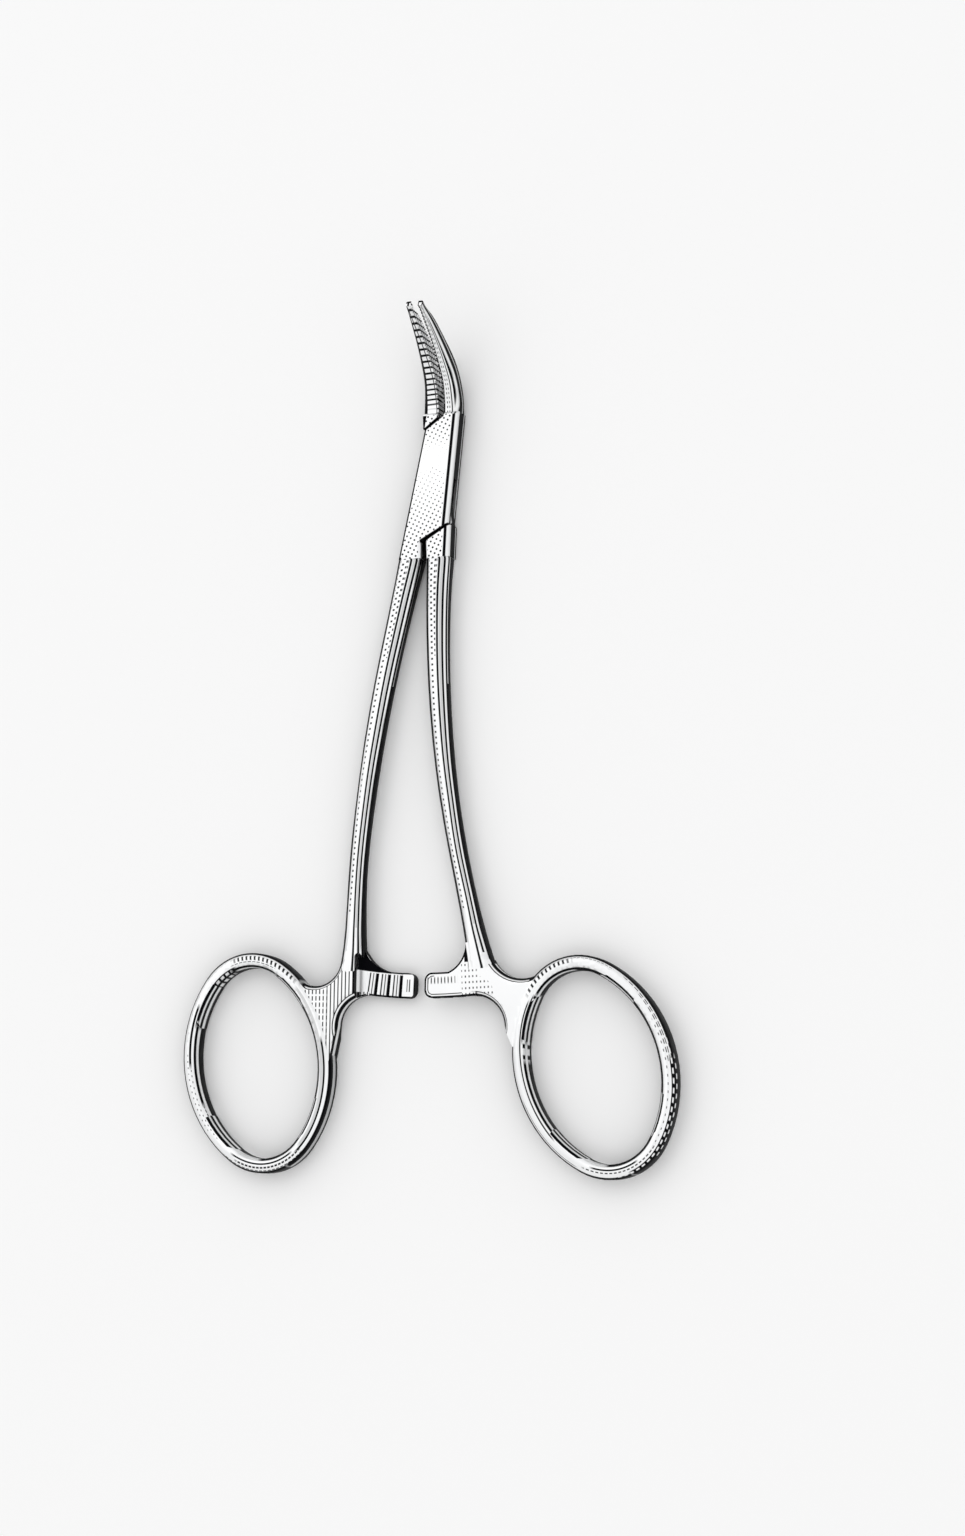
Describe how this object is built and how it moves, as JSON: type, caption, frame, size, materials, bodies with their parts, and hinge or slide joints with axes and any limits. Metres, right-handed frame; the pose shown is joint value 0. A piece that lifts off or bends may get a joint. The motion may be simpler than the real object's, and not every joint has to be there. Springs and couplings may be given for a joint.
{
  "type": "endodontic forceps",
  "caption": "Ring-handled endodontic forceps of bare steel with slim serrated jaws curving forward, a box lock on a flush pin and a short ratchet between the shanks.",
  "frame": {"origin": "on the lock pin's axis, in the flat back face of the box lock that the forceps rest on", "axes": "+Z along the pin's axis, out of the front face and the way the jaw tips curve; +Y from the pin to the jaw tips; +X to the right half's finger ring"},
  "size_m": [0.0725, 0.1206, 0.014],
  "materials": {
    "female_steel": "satin",
    "male_steel": "satin",
    "pin_steel": "satin"
  },
  "bodies": {
    "female": {"female_half": "female_steel", "lock_pin": "pin_steel"},
    "male": {"male_half": "male_steel"}
  },
  "joints": [
    {"name": "lock_pivot", "type": "hinge", "parent": "female", "child": "male", "pos_m": [0, 0, 0.00175], "axis": [0, 0, 1], "range_deg": [-2.8, 36]}
  ]
}
